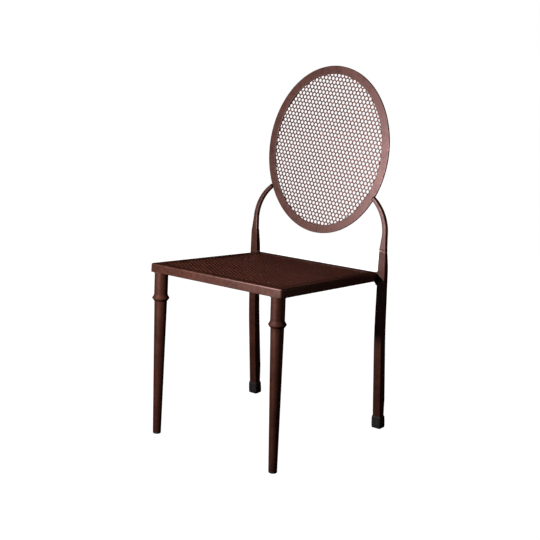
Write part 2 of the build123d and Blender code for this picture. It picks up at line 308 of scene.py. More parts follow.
def times(tree, first, second):
    node = add_node(tree, "Math", {}, {0: first, 1: second})
    node.operation = "MULTIPLY"
    return node.outputs[0]


def tint(tree, factor, first, second):
    """A mix of two colours; each is an RGB value or another node's output."""
    node = tree.nodes.new("ShaderNodeMix")
    node.data_type = "RGBA"
    tree.links.new(factor, node.inputs[0])
    for socket, colour in ((node.inputs[6], first), (node.inputs[7], second)):
        if isinstance(colour, bpy.types.NodeSocket):
            tree.links.new(colour, socket)
        else:
            socket.default_value = (*colour, 1.0)
    return node.outputs[2]


def relief(tree, vector, scale, detail, strength, depth, under=None):
    """A relief of noise, on top of another one if that is given."""
    links = {"Height": add_noise(tree, vector, scale, detail)}
    if under:
        links["Normal"] = under
    values = {"Strength": strength, "Distance": depth}
    return add_node(tree, "Bump", values, links).outputs["Normal"]


def new_finish(name):
    finish = bpy.data.materials.new(name)
    finish.use_nodes = True
    tree = finish.node_tree
    place = tree.nodes.new("ShaderNodeTexCoord").outputs["Object"]
    return finish, tree, tree.nodes["Principled BSDF"], place


def painted_iron(name, light, dark, roughness, shine=0.8):
    """Satin paint on iron: clouded brown, brush streaks, rubbed edges and a slightly uneven skin.

    An edge mark above zero rubs the paint; one below zero darkens it with painted shade."""
    if name in bpy.data.materials:
        return bpy.data.materials[name]
    # Darker paint for the brush streaks, and for the shade painted into the sheets' holes
    streak_and_shade = [0.55 * channel for channel in dark]
    finish, tree, shader, place = new_finish(name)
    clouds = patches(tree, place, 14.0, 5.0, 0.35, 0.68, 0.0, 1.0)
    colour = tint(tree, clouds, dark, light)
    brush = add_node(tree, "Mapping", {"Scale": (130.0, 130.0, 9.0)}, {"Vector": place})
    streaks = patches(tree, brush.outputs["Vector"], 1.0, 4.0, 0.52, 0.8, 0.0, 0.7)
    colour = tint(tree, streaks, colour, streak_and_shade)
    specks = patches(tree, place, 420.0, 2.0, 0.62, 0.8, 0.0, 0.35)
    colour = tint(tree, specks, colour, colours().paint_worn)
    mark = tree.nodes.new("ShaderNodeAttribute")
    mark.attribute_name = "edge"
    rub = patches(tree, place, 60.0, 6.0, 0.45, 0.7, 0.0, 0.55)
    colour = tint(tree, times(tree, mark.outputs["Fac"], rub), colour, colours().paint_worn)
    # Painted shade: a mark below zero darkens the walls of the punched holes and of the sheet's edge
    painted_hole_shade = remap(tree, mark.outputs["Fac"], -1.0, 0.0, 0.6, 0.0)
    colour = tint(tree, painted_hole_shade, colour, streak_and_shade)
    rough = patches(tree, place, 85.0, 5.0, 0.3, 0.7, roughness - 0.07, roughness + 0.09)
    swell = relief(tree, place, 45.0, 3.0, 0.12, 1.0 * MM)
    grain = relief(tree, place, 650.0, 3.0, 0.18, 0.2 * MM, swell)
    gloss = {"IOR": 1.6, "Specular IOR Level": shine, "Specular Tint": (*colours().gloss, 1.0)}
    feed(tree, shader, gloss, {"Base Color": colour, "Roughness": rough, "Normal": grain})
    return finish


def iron_paint():
    return painted_iron("oxide_paint", colours().paint_light, colours().paint_dark, 0.41)


def sheet_paint():
    return painted_iron("sheet_paint", colours().sheet_light, colours().sheet_dark, 0.43)


def collar_paint():
    """The paint of the bars, duller."""
    return painted_iron("collar_paint", colours().paint_light, colours().paint_dark, 0.6, 0.3)


def spotted_finish(name, ground, spot, spots, rough, grain):
    """A dull finish with spots of a second colour, uneven roughness and a fine grain.

    Spots: scale, detail, start, end and strength. Roughness: scale, least and most. Grain: scale, detail,
    strength and depth."""
    if name in bpy.data.materials:
        return bpy.data.materials[name]
    finish, tree, shader, place = new_finish(name)
    scale, detail, start, end, strength = spots
    cover = patches(tree, place, scale, detail, start, end, 0.0, strength)
    scale, least, most = rough
    looks = {
        "Base Color": tint(tree, cover, ground, spot),
        "Roughness": patches(tree, place, scale, 3.0, 0.3, 0.7, least, most),
        "Normal": relief(tree, place, *grain),
    }
    feed(tree, shader, {}, looks)
    return finish


def weld_paint():
    """Paint over weld metal, browner than the bars, with burnt spots."""
    return spotted_finish(
        "weld_paint", colours().weld_dark, colours().weld_light, spots=(160.0, 5.0, 0.35, 0.65, 1.0),
        rough=(300.0, 0.45, 0.65), grain=(500.0, 4.0, 0.4, 0.3 * MM),
    )


def black_rubber():
    """Scuffed matt rubber, greyer where it has rubbed on floors."""
    return spotted_finish(
        "black_rubber", colours().rubber, colours().rubber_scuff, spots=(110.0, 6.0, 0.5, 0.75, 0.6),
        rough=(200.0, 0.6, 0.8), grain=(900.0, 2.0, 0.3, 0.2 * MM),
    )


def dark_nylon():
    """Dull nylon of the glides, with dusty spots."""
    return spotted_finish(
        "dark_nylon", colours().nylon, colours().nylon_dust, spots=(140.0, 5.0, 0.45, 0.7, 0.5),
        rough=(260.0, 0.42, 0.6), grain=(700.0, 2.0, 0.2, 0.15 * MM),
    )


# Forms of the pieces


def rail_rings(start, along, inward, length, rounds, section):
    """Rings along one mitred rail, whose ends are cut at 45 degrees on the roundings of the corners."""

    def ring(corner, way, rounding, angle):
        points = []
        for (inset, height), _ in section:
            reach = rounding - inset
            if reach > 0:
                on_way, off_way = rounding - reach * cos(angle), rounding - reach * sin(angle)
            else:
                on_way = off_way = inset
            points.append(corner + way * on_way + inward * off_way + UPWARD * height)
        return points

    angles = [pi / 4 + step / CORNER_STEPS * pi / 4 for step in range(CORNER_STEPS + 1)]
    first = [ring(start, along, rounds[0], angle) for angle in angles]
    end = start + along * length
    last = [ring(end, -along, rounds[1], angle) for angle in reversed(angles)]
    return first + last


def punched_holes(reach, pitch, turn, start, inside):
    """The middles of staggered holes, in rows turned about the sheet's middle, that the test lets in."""
    row_step = pitch * sqrt(3) / 2
    rows = int(reach / row_step) + 2
    columns = int(reach / pitch) + 2
    rotation = Matrix.Rotation(turn, 2)
    middles = []
    for row in range(-rows, rows + 1):
        for column in range(-columns, columns + 1):
            along = (column + 0.5 * (row % 2)) * pitch + start[0]
            middle = rotation @ Vector((along, row * row_step + start[1]))
            if inside(middle):
                middles.append(middle)
    return middles


def punched_sheet(outline, inside, middles, radius, lip, segments, thickness):
    """A flat sheet with round holes, each eased at its upper rim.

    Holes that cross the outline are cut by it. The sheet's upper face lies at zero height. Edge marks
    come with the points: shade is painted on the walls under each hole's rim and along the sheet's edge."""
    mouth = radius + lip
    corners = [corner.xy for corner in circle(Vector(), mouth, segments)]
    loops = [(outline, None)]
    loops += [([middle + corner for corner in corners], middle) for middle in middles]
    points, edges, owners = [], [], []
    for loop, middle in loops:
        first = len(points)
        points += loop
        owners += [middle] * len(loop)
        edges += [(first + k, first + (k + 1) % len(loop)) for k in range(len(loop))]
    flat, _, triangles, sources, _, _ = delaunay_2d_cdt(points, edges, [], 0, 0.001 * MM)

    nearest = KDTree(len(middles))
    for number, middle in enumerate(middles):
        nearest.insert(middle.to_3d(), number)
    nearest.balance()
    kept = []
    for face in triangles:
        place = sum((flat[i] for i in face), Vector((0, 0))) / 3
        if inside(place) and nearest.find(place.to_3d())[2] >= mouth * cos(pi / segments):
            kept.append(tuple(face))

    ledge, lower = [], []
    for place, origin in zip(flat, sources):
        depth = lip / 4
        if origin and all(owners[k] is not None for k in origin):
            middle = owners[origin[0]]
            place = middle + (place - middle) * (radius / mouth)
            depth = lip
        ledge.append(Vector((*place, -depth)))
        lower.append(Vector((*place, -thickness)))
    count = len(flat)
    faces = kept + [tuple(2 * count + i for i in reversed(face)) for face in kept]
    sides = [(face[k], face[(k + 1) % 3]) for face in kept for k in range(3)]
    known = set(sides)
    for a, b in sides:
        if (b, a) not in known:
            faces.append((b, a, count + a, count + b))
            faces.append((count + b, count + a, 2 * count + a, 2 * count + b))
    # The ledge points carry painted shade down the walls of the holes and of the sheet's edge
    marks = [0.0] * count + [-1.0] * count + [0.0] * count
    return [place.to_3d() for place in flat] + ledge + lower, faces, marks


def add_sheet(kind, place, size, outline, inside, hole, turn, start=(0, 0)):
    """The punched sheet of seat or back. Holes whose middle lies just past its edge cut into it."""
    sizes = bpy.context.scene.chair_sheet
    radius = hole / 2
    middles = punched_holes(
        size.xy.length / 2, sizes.hole_pitch, turn, start, lambda middle: inside(middle, radius / 2)
    )
    points, faces, marks = punched_sheet(
        outline, inside, middles, radius, sizes.hole_lip, sizes.hole_segments, size.z
    )
    shape, node = ([place @ point for point in points], faces), f"{kind}_panel"
    add_piece(f"{kind}_sheet", shape, sheet_paint(), [node], marks, sharp=30)


def bead(path, radius, seed, ripple=2.6 * MM, closed=False):
    """A weld bead along a path: overlapping ripples of slightly uneven size, with tapered ends."""
    steps = []
    for start, end in zip(path, path[1:] + path[:1] if closed else path[1:]):
        parts = max(1, round((end - start).length / (ripple / 4)))
        steps += [start.lerp(end, k / parts) for k in range(parts)]
    if not closed:
        steps.append(path[-1])
    rings = []
    travelled = 0.0
    for i, place in enumerate(steps):
        before = steps[i - 1] if i or closed else place
        after = steps[(i + 1) % len(steps)] if i + 1 < len(steps) or closed else place
        along = (after - before).normalized()
        side = along.orthogonal().normalized()
        other = along.cross(side)
        travelled += (place - before).length
        size = 1 + 0.13 * cos(tau * travelled / ripple)
        size += 0.22 * noise.noise(place / (4 * MM) + Vector((seed, 0, 0)))
        if not closed:
            steps_to_end = min(i, len(steps) - 1 - i)
            size *= min(1.0, 0.45 + 0.28 * steps_to_end)
        wide = radius * size
        ring = [place + wide * (cos(turn) * side + sin(turn) * other) for turn in full_turn(BEAD_SIDES)]
        if rings:
            shift = min(range(BEAD_SIDES), key=lambda k: (ring[k] - rings[-1][0]).length)
            ring = ring[shift:] + ring[:shift]
        rings.append(ring)
    return skin(rings, closed)


def islands(node):
    """The middles of a node's separate solids."""
    work = bmesh.new()
    work.from_mesh(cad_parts[node].data)
    bmesh.ops.remove_doubles(work, verts=work.verts, dist=0.001 * MM)
    middles = []
    seen = set()
    for start in work.verts:
        if start in seen:
            continue
        seen.add(start)
        found = [start]
        for vert in found:
            fresh = [other for edge in vert.link_edges if (other := edge.other_vert(vert)) not in seen]
            seen.update(fresh)
            found += fresh
        middles.append(sum((vert.co for vert in found), Vector()) / len(found))
    work.free()
    return sorted(middles, key=lambda middle: tuple(round(c, 4) for c in middle))


def add_tacks(kind, place, along_edge, radius, seed):
    """A short bead on each tack weld of seat or back, along the sheet's edge there."""
    reach = bpy.context.scene.chair_welds.tack_reach
    flat, turn = place.inverted(), place.to_3x3()
    node = f"{kind}_tack_welds"
    beads = []
    for number, middle in enumerate(islands(node)):
        step = reach * (turn @ along_edge(flat @ middle))
        beads.append(bead([middle - step, middle + step], radius, seed + number))
    add_beads(f"{kind}_tack_beads", beads, [node])


def turned_rings(leg_at, profile):
    """Rings round a front leg's line, from heights and how far each stands out from the leg there."""
    rings = []
    for height, stand in profile:
        middle, radius = leg_at(height)
        rings.append(circle(middle, radius + stand, ROUND_STEPS))
    return rings


def collar_profile(low, nose, high):
    """A collar's outline from its lower to its upper lip: how far it stands out, and at what height."""
    blunt = 0.5 * MM
    outline = [(-0.25, low), (0.05, low)]
    for step in range(1, 6):
        share = step / 5
        outline.append((0.05 + 0.92 * share, low + (nose - blunt - low) * share**1.3))
    outline.append((1.0, nose))
    for step in range(9):
        share = step / 8
        outline.append((0.97 * (1 - share) ** 1.25, nose + blunt + (high - nose - blunt) * share))
    outline.append((-0.25, high))
    return outline


def deepened(ring, extra):
    """A level ring of a rear leg with its rear half moved back."""
    middle = sum(point.y for point in ring) / len(ring)
    return [point + BACKWARD * extra if point.y > middle else point for point in ring]


def rail_beads(leg, middle_x, sign):
    """Beads of a rear leg and a seat rail.

    One goes up their corner, one back along the rail's top edge, and two fill the corner under it."""
    welds = bpy.context.scene.chair_welds
    place, size = seat_place()
    half_x, draw = seat_sides()
    flat = place.inverted()
    seat_level = (place @ Vector((0, size.y / 2, 0))).z
    front, back = (flat @ point for point in span(leg, Vector((middle_x, 0, seat_level)), BACKWARD))
    rail_face = half_x - draw * (front.y + size.y / 2)

    def beside(along, height, out=0.6 * MM):
        return place @ Vector((sign * (rail_face + out), along, height))

    corner = front.y - 1.2 * MM
    upright = [beside(corner, -size.z * share) for share in (0.9, 0.05)]
    level = [beside(along, 0, -0.4 * MM) for along in (corner, back.y)]
    beads = [bead(upright, welds.rail_corner, 7 + sign), bead(level, welds.rail_top, 9 + sign)]
    for reach in (10 * MM, 5 * MM):
        arc = []
        for step in range(7):
            turn = step / 6 * pi / 2
            arc.append(beside(front.y - reach * (1 - sin(turn)), -size.z - reach * (1 - cos(turn))))
        beads.append(bead(arc, welds.rail_under, 12 + sign))
    return beads


def stile_side(middle, foot, way):
    """One side of the right stile, as a function of the share of the way from foot to tip.

    It is straight up to the bend, and an arc from there."""
    sizes = bpy.context.scene.chair_bars
    bend = foot + sizes.stile_straight
    root = Vector((middle + way * sizes.stile_root / 2, foot))
    waist = Vector((middle + way * sizes.stile_waist / 2, bend))
    reach = sizes.stile_bend + way * sizes.stile_tip / 2
    sweep = sizes.stile_sweep
    tip = Vector((middle - sizes.stile_bend + reach * cos(sweep), bend + reach * sin(sweep)))
    step = tip - waist
    radius = -step.length_squared / (2 * step.x)
    turn = 2 * step.angle(Vector((0, 1)))

    def at(share):
        if share < STILE_STRAIGHT:
            part = share / STILE_STRAIGHT
            return root.lerp(waist, part * (1.25 - 0.25 * part))
        angle = turn * (share - STILE_STRAIGHT) / (1 - STILE_STRAIGHT)
        return waist + radius * Vector((cos(angle) - 1, sin(angle)))

    return at


def shoulder_seam(ring, sign):
    """The seam of stile and leg: it runs down in an arch towards the chair's outer side."""
    drop = 8.0 * MM
    first, last = min(p.x * sign for p in ring), max(p.x * sign for p in ring)
    seam = []
    for point in shrunk(ring[::2], 0.5 * MM):
        share = (point.x * sign - first) / (last - first)
        seam.append(point - UPWARD * drop * max(0.0, share - 0.35) ** 1.6)
    return seam


# Sizes, colours and stage settings


def Length(name, description, millimetres):
    return FloatProperty(
        name=name, description=description, default=millimetres * MM, unit="LENGTH", precision=5
    )


def Angle(name, description, degrees):
    return FloatProperty(name=name, description=description, default=radians(degrees), subtype="ANGLE")


def Colour(name, description, default):
    return FloatVectorProperty(
        name=name, description=description, default=default, subtype="COLOR", min=0, max=1
    )


def Power(name, description, watts):
    return FloatProperty(name=name, description=description, default=watts, unit="POWER")


class SheetSizes(bpy.types.PropertyGroup):
    """The punched sheet of the seat and the back"""

    hole_pitch: Length("Hole pitch", "Distance between neighbouring holes of a row", 11.45)
    back_hole: Length("Back hole", "Diameter of the back's punched holes", 9.1)
    seat_hole: Length("Seat hole", "Diameter of the seat's punched holes", 6.2)
    hole_lip: Length("Hole lip", "Easing of each hole's rim under the paint", 0.35)
    hole_segments: IntProperty(name="Hole segments", description="Sides of each hole", default=12, min=6)
    back_turn: Angle("Back rows", "Turn of the back's hole rows", -4.5)
    back_start: FloatVectorProperty(
        name="Back start", description="Place of a hole beside the middle of the back",
        default=(3.8 * MM, 1.6 * MM), size=2, unit="LENGTH",
    )
    seat_turn: Angle("Seat rows", "Turn of the seat's hole rows", 21.5)


class BarSizes(bpy.types.PropertyGroup):
    """Roundings, swells and bends of the bars"""

    rail_edge: Length("Rail edge", "Rounding along the seat rails' outer top edges", 3.4)
    seat_corner: Length("Seat corner", "Rounding of the seat's front corners in plan", 7.0)
    leg_corner: Length("Leg corner", "Rounding of the rear legs' corners", 1.4)
    leg_swell: Length("Leg swell", "Added depth of the rear legs, on their rear side", 4.0)
    leg_fade: Length("Leg fade", "Length at a rear leg's ends over which that fades", 45.0)
    cap_corner: Length("Cap corner", "Rounding of the rubber caps' corners", 3.6)
    rim_edge: Length("Rim edge", "Rounding of the oval rim's edges", 1.1)
    rim_trim: Length("Rim trim", "Taken off the rim's width, on its inner side", 3.0)
    stile_root: Length("Stile root", "Width of a stile on the leg", 18.5)
    stile_waist: Length("Stile waist", "Width of a stile where its bend begins", 13.5)
    stile_tip: Length("Stile tip", "Width of a stile at the end of its bend", 8.0)
    stile_straight: Length("Stile straight", "Length of a stile from the leg to its bend", 35.0)
    stile_bend: Length("Stile bend", "Radius of a stile's bend", 118.0)
    stile_sweep: Angle("Stile sweep", "Turn of a stile's bend before the rim cuts it", 75)
    stile_edge: Length("Stile edge", "Rounding of the stiles' edges on the legs", 2.0)
    stile_round: Length("Stile rounding", "Rounding of the stiles' edges along their bend", 3.6)


class WeldSizes(bpy.types.PropertyGroup):
    """Beads of the welds"""

    tack_reach: Length("Tack reach", "Half the length of a tack weld", 6.0)
    seat_tack: Length("Seat tack", "Radius of the seat sheet's tack welds", 2.2)
    back_tack: Length("Back tack", "Radius of the back sheet's tack welds", 1.5)
    front_leg: Length("Front leg", "Radius of the bead round a front leg's top", 1.7)
    rail_corner: Length("Rail corner", "Radius of the upright bead of rail and rear leg", 2.4)
    rail_top: Length("Rail top", "Radius of the bead along a rail's top at the rear leg", 3.2)
    rail_under: Length("Rail underside", "Radius of the passes in the corner under a rail", 2.6)
    stile: Length("Stile", "Radius of the beads at both ends of a stile", 1.3)
    rim_seam: Length("Rim seam", "Radius of the beads that join the rim's halves", 1.1)


class PaintColours(bpy.types.PropertyGroup):
    """Colours of the finishes"""

    paint_light: Colour("Light paint", "Paler clouds of the bars", (0.0825, 0.0248, 0.0129))
    paint_dark: Colour("Dark paint", "Darker clouds of the bars", (0.0510, 0.0138, 0.0069))
    sheet_light: Colour("Light sheet", "Paler clouds of the sheets", (0.124, 0.0315, 0.0152))
    sheet_dark: Colour("Dark sheet", "Darker clouds of the sheets", (0.0765, 0.0175, 0.0081))
    paint_worn: Colour("Rubbed paint", "Paint on rubbed edges and specks", (0.130, 0.063, 0.050))
    gloss: Colour("Gloss", "Tint of the paint's gloss", (1.0, 0.61, 0.6))
    weld_light: Colour("Light weld", "Paler spots of the welds", (0.120, 0.055, 0.032))
    weld_dark: Colour("Dark weld", "Burnt spots of the welds", (0.058, 0.026, 0.016))
    rubber: Colour("Rubber", "Caps of the rear legs", (0.017, 0.0145, 0.0135))
    rubber_scuff: Colour("Scuffed rubber", "Rubbed spots of the caps", (0.05, 0.047, 0.044))
    nylon: Colour("Nylon", "Glides of the front legs", (0.030, 0.026, 0.025))
    nylon_dust: Colour("Dusty nylon", "Dusty spots of the glides", (0.09, 0.08, 0.075))
    floor: Colour("Floor", "The pale floor and the sky behind it", (1.0, 1.0, 1.0))
    fill_light: Colour("Fill light", "The weak light from the right", (1.0, 0.76, 0.64))


class StageSettings(bpy.types.PropertyGroup):
    """Camera and lights"""

    camera_place: FloatVectorProperty(
        name="Camera place", description="Where the camera stands",
        default=(1.5236, -2.0729, 0.9528), subtype="TRANSLATION",
    )
    camera_azimuth: Angle("Azimuth", "Turn of the camera round the chair", 38.72)
    camera_dip: Angle("Dip", "How far the camera looks down", 10.45)
    camera_roll: Angle("Roll", "Turn of the camera about its own line of sight", 1.92)
    lens: FloatProperty(
        name="Lens", description="Focal length on a 36 mm sensor in millimetres", default=67.76
    )
    shift: FloatVectorProperty(
        name="Shift", description="Shift of the picture, as shares of its width",
        default=(0.0688, -0.0374), size=2,
    )
    key_power: Power("Key light", "Power of the light from the front left", 15.0)
    back_power: Power("Back light", "Power of the light from behind", 40.0)
    fill_power: Power("Fill light", "Power of the weak light from the right", 3.3)
    low_power: Power("Low light", "Power of the weak low light from the front", 2.4)


# Operators of the pieces


class CHAIR_OT_seat_rails(bpy.types.Operator):
    """Builds the four mitred tubes of the seat frame"""

    bl_idname = "chair.seat_rails"
    bl_label = "Seat rails"

    def execute(self, context):
        sizes = context.scene.chair_bars
        place, size = seat_place()
        half_x, draw = seat_sides()
        half_y = size.y / 2
        middle = place @ Vector((0, 0, -size.z / 2))
        first, last = span("seat_front_rail", middle, place.to_3x3() @ BACKWARD)
        width = (last - first).length
        lesser = sizes.rail_edge * 0.3  # on the three edges that show less
        radii = (lesser, lesser, lesser, sizes.rail_edge)
        section = rounded_section((0, -size.z), (width, 0), radii, 1.2 * MM)
        corner = sizes.seat_corner
        rails = (
            ("front", Vector((-half_x, -half_y, 0)), ACROSS, BACKWARD, 2 * half_x, (corner, corner)),
            ("rear", Vector((half_x, half_y, 0)), -ACROSS, -BACKWARD, 2 * half_x, (0, 0)),
            ("left", Vector((-half_x, half_y, 0)), -BACKWARD, ACROSS, size.y, (0, corner)),
            ("right", Vector((half_x, -half_y, 0)), BACKWARD, -ACROSS, size.y, (corner, 0)),
        )
        marks = [mark for _, mark in section]
        for name, start, along, inward, length, rounds in rails:
            rings = rail_rings(start, along, inward, length, rounds, section)
            points, faces = skin(rings)
            for point in points:
                point.x -= copysign(draw * (point.y + half_y), point.x)
            shape = [place @ point for point in points], faces
            tube, node = f"{name}_rail_tube", f"seat_{name}_rail"
            add_piece(tube, shape, iron_paint(), [node], marks * len(rings))
        return {"FINISHED"}


class CHAIR_OT_seat_sheet(bpy.types.Operator):
    """Builds the punched seat sheet and the tack welds that hold it"""

    bl_idname = "chair.seat_sheet"
    bl_label = "Seat sheet"

    def execute(self, context):
        sizes, welds = context.scene.chair_sheet, context.scene.chair_welds
        place, size = face_place("seat_panel", UPWARD, ["seat_panel"])
        half = size / 2
        _, draw = seat_sides()
        rear_x = half.x - draw * size.y
        corners = (-half.x, -half.y), (half.x, -half.y), (rear_x, half.y), (-rear_x, half.y)
        outline = [Vector(corner) for corner in corners]

        def inside(point, beyond=0.0):
            side = half.x - draw * (point.y + half.y)
            return abs(point.x) < side + beyond and abs(point.y) < half.y + beyond

        def along_edge(point):
            side_on = abs(point.x) / half.x > abs(point.y) / half.y
            return BACKWARD if side_on else ACROSS

        add_sheet("seat", place, size, outline, inside, sizes.seat_hole, sizes.seat_turn)
        add_tacks("seat", place, along_edge, welds.seat_tack, 0)
        return {"FINISHED"}


class CHAIR_OT_front_legs(bpy.types.Operator):
    """Builds the round front legs with their collars, glides and upper welds"""

    bl_idname = "chair.front_legs"
    bl_label = "Front legs"

    def execute(self, context):
        welds = context.scene.chair_welds
        place, size = seat_place()
        under = place @ Vector((0, 0, -size.z))
        normal = place.to_3x3() @ UPWARD
        beads = []
        for side, _ in SIDES:
            leg_at = front_leg_line(side)
            leg, collar, glide = (f"front_{side}_{kind}" for kind in ("leg", "collar", "glide"))
            foot, head = (corner.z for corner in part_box(leg))
            profile = [(foot, -0.6 * MM)]
            steps = 40
            for k in range(steps + 1):
                profile.append((foot + 0.4 * MM + k / steps * (head - foot - 4 * MM), 0.0))
            profile.append((head, 0.0))
            rings = turned_rings(leg_at, profile)
            top = rings[-1]
            for point in top:
                point.z = under.z - (point - under).xy.dot(normal.xy) / normal.z
            add_piece(f"{leg}_tube", skin(rings), iron_paint(), [leg])
            path = [point - normal * 0.8 * MM for point in top[::4]]
            beads.append(bead(path, welds.front_leg, len(beads), closed=True))

            low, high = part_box(collar)
            nose_height = low.z + 0.42 * (high.z - low.z)
            nose = (high.x - low.x) / 2 - 0.1 * MM
            profile = [
                (height, reach * (nose - leg_at(height)[1]))
                for reach, height in collar_profile(low.z, nose_height, high.z)
            ]
            shape = skin(turned_rings(leg_at, profile))
            add_piece(f"{collar}_ring", shape, collar_paint(), [collar])

            low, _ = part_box(glide)
            profile = [(low.z + height * MM, -inset * MM) for height, inset in GLIDE_PROFILE]
            profile += [(foot - 0.5 * MM, 0.0), (foot, -0.5 * MM)]
            shape = skin(turned_rings(leg_at, profile))
            add_piece(f"{glide}_plug", shape, dark_nylon(), [glide])
        add_beads("front_leg_weld_beads", beads)
        return {"FINISHED"}


class CHAIR_OT_rear_legs(bpy.types.Operator):
    """Builds the square rear legs with their rubber caps and the welds on the seat rails"""

    bl_idname = "chair.rear_legs"
    bl_label = "Rear legs"

    def execute(self, context):
        sizes = context.scene.chair_bars
        beads = []
        for side, sign in SIDES:
            leg, cap = f"rear_{side}_leg", f"rear_{side}_cap"
            low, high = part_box(leg)
            cap_low, cap_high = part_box(cap)
            middle_x = (low.x + high.x) / 2
            steps = 60
            rings = []
            for step in range(steps + 1):
                height = low.z + MM + step / steps * (high.z - low.z - 1.5 * MM)
                ring, marks = block_section(leg, middle_x, height, sizes.leg_corner)
                share = min(height - cap_high.z, high.z - height) / sizes.leg_fade
                rings.append(deepened(ring, sizes.leg_swell * min(max(share, 0), 1)))
            rings.append(shrunk([point + UPWARD * 0.4 * MM for point in rings[-1]], 0.5 * MM))
            shape = skin(rings)
            add_piece(f"{leg}_tube", shape, iron_paint(), [leg], marks * len(rings))

            rings = []
            for share, inset in CAP_PROFILE:
                height = cap_low.z + share * (cap_high.z - cap_low.z)
                sample = min(max(height, cap_low.z + 2 * MM), cap_high.z - MM)
                ring, _ = block_section(cap, middle_x, sample, sizes.cap_corner, inset * MM)
                rings.append([Vector((*point.xy, height)) for point in ring])
            add_piece(f"rear_{side}_foot_cap", skin(rings), black_rubber(), [cap], sharp=60)

            beads += rail_beads(leg, middle_x, sign)
        add_beads("rear_leg_weld_beads", beads)
        return {"FINISHED"}


class CHAIR_OT_stiles(bpy.types.Operator):
    """Builds the bent stiles that carry the oval, with their welds"""

    bl_idname = "chair.stiles"
    bl_label = "Stiles"

    def execute(self, context):
        sizes, welds = context.scene.chair_bars, context.scene.chair_welds
        oval, size = back_place()
        half = size / 2
        into_oval = oval.inverted()
        place, bar = face_place("right_stile", -BACKWARD, ["left_stile", "right_stile"])
        turn = place.to_3x3()
        rise, tilt = (turn @ BACKWARD).z, (turn @ UPWARD).z
        low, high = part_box("rear_right_leg")
        middle = (low.x + high.x) / 2
        foot = (high.z - place.translation.z) / rise
        inner, outer = (stile_side(middle, foot, way) for way in (-1, 1))

        def on_stile(across, share, depth):
            """A point between the right stile's sides. Behind its front face the depth is negative."""
            point = inner(share).lerp(outer(share), across)
            sink = max(0.0, 1 - share / STILE_STRAIGHT) * -depth * tilt / rise
            return place @ Vector((point.x, point.y - sink, depth))

        def rim_share(across, depth):
            """How far along the stile its line meets the rim's outer edge."""
            outside, within = STILE_STRAIGHT, 1.0
            for _ in range(30):
                share = (outside + within) / 2
                point = into_oval @ on_stile(across, share, depth)
                if hypot(point.x / half.x, point.y / half.y) > 1:
                    outside = share
                else:
                    within = share
            return outside

        corners = (0, -bar.z), (sizes.stile_waist, 0)
        square = rounded_section(*corners, [sizes.stile_edge] * 4, 0.3 * MM)
        rounded = rounded_section(*corners, [sizes.stile_round] * 4, 0.3 * MM)
        steps = 44
        rounded_by = 0.45  # share of the way to the rim over which the edges grow rounder
        rounding = [min(1.0, k / steps / rounded_by) for k in range(steps + 1)]
        beads = []
        for side, sign in SIDES:
            rings = [[] for _ in range(steps + 1)]
            for (first, _), (last, _) in zip(square, rounded):
                end = rim_share(last.x / sizes.stile_waist, last.y)
                for k in range(steps + 1):
                    spot = first.lerp(last, rounding[k])
                    point = on_stile(spot.x / sizes.stile_waist, end * k / steps, spot.y)
                    rings[k].append(Vector((sign * point.x, point.y, point.z)))
            marks = [mark * (1 - 0.7 * share) for share in rounding for _, mark in square]
            node = f"{side}_stile"
            add_piece(f"{node}_bar", skin(rings), iron_paint(), [node], marks)
            beads.append(bead(shoulder_seam(rings[0], sign), welds.stile, 20 + sign, closed=True))
            beads.append(bead(shrunk(rings[-1][::2], 0.5 * MM), welds.stile, 30 + sign, closed=True))
        add_beads("stile_weld_beads", beads)
        return {"FINISHED"}


class CHAIR_OT_oval_rim(bpy.types.Operator):
    """Builds the two halves of the oval rim and the seams that join them"""

    bl_idname = "chair.oval_rim"
    bl_label = "Oval rim"

    def execute(self, context):
        sizes, welds = context.scene.chair_bars, context.scene.chair_welds
        place, size = back_place()
        half = size / 2
        first, last = span("back_rim_right", place @ Vector((0, 0, -MM)), ACROSS)
        width = last.x - first.x - sizes.rim_trim
        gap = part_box("back_rim_right")[0].x
        section = rounded_section((0, -size.z), (width, 0), [sizes.rim_edge] * 4, 1.0 * MM)
        marks = [mark for _, mark in section]
        steps = 120
        for side, sign in SIDES:
            rings = []
            for k in range(steps + 1):
                angle = -pi / 2 + k / steps * pi
                ring = []
                for (inset, depth), _ in section:
                    x = max(gap, (half.x - inset) * cos(angle))
                    ring.append(place @ Vector((sign * x, (half.y - inset) * sin(angle), depth)))
                rings.append(ring)
            shape, node = skin(rings), f"back_rim_{side}"
            add_piece(f"{side}_rim_half", shape, iron_paint(), [node], marks * len(rings))
        beads = []
        for way in (-1, 1):
            for depth in (-0.35 * MM, -size.z + 0.55 * MM):
                ends = (half.y - inset * width for inset in (0.04, 0.96))
                path = [place @ Vector((0, way * end, depth)) for end in ends]
                beads.append(bead(path, welds.rim_seam, 40 + way, ripple=2.0 * MM))
        add_beads("rim_seam_beads", beads, ["rim_seam_welds"])
        return {"FINISHED"}


class CHAIR_OT_back_sheet(bpy.types.Operator):
    """Builds the punched oval sheet behind the rim and its tack welds"""

    bl_idname = "chair.back_sheet"
    bl_label = "Back sheet"

    def execute(self, context):
        sizes, welds = context.scene.chair_sheet, context.scene.chair_welds
        place, size = face_place("back_panel", -BACKWARD, ["back_panel"])
        half = size / 2
        steps = 160
        outline = [Vector((half.x * cos(turn), half.y * sin(turn))) for turn in full_turn(steps)]

        def inside(point, beyond=0.0):
            return hypot(point.x / (half.x + beyond), point.y / (half.y + beyond)) < 1

        def along_edge(point):
            return Vector((-point.y / half.y**2, point.x / half.x**2, 0)).normalized()

        add_sheet(
            "back", place, size, outline, inside, sizes.back_hole, sizes.back_turn, sizes.back_start
        )
        add_tacks("back", place, along_edge, welds.back_tack, 50)
        return {"FINISHED"}


# Stage


